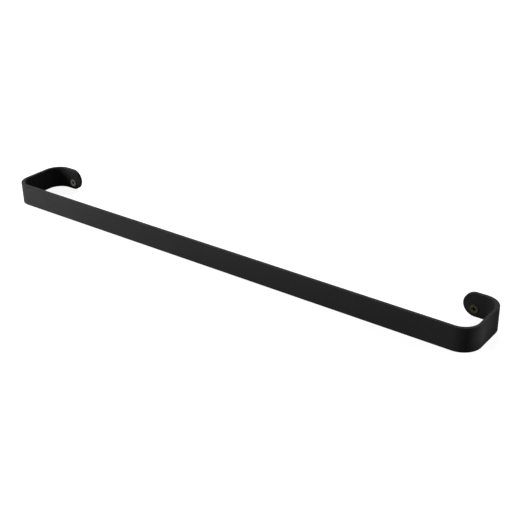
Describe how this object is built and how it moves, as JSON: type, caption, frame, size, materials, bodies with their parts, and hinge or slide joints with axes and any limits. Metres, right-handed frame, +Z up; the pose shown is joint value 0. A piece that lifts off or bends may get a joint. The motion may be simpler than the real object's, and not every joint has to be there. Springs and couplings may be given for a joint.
{
  "type": "towel bar",
  "caption": "Wall-mounted towel bar bent from flat steel strip, with round-ended feet turned inward and countersunk wall screws.",
  "frame": {"origin": "on the wall plane, midway between the axes of the wall screws", "axes": "+X along the bar, to the right of someone facing the wall; +Y into the wall, along the screws; +Z up"},
  "size_m": [0.6, 0.0772, 0.025],
  "materials": {
    "black_powder_coat": "satin black powder coat with a fine texture",
    "yellow_zinc": "yellow zinc plate, slightly dulled"
  },
  "bodies": {
    "root": {"bar": "black_powder_coat", "left_screw": "yellow_zinc", "right_screw": "yellow_zinc"}
  },
  "joints": []
}
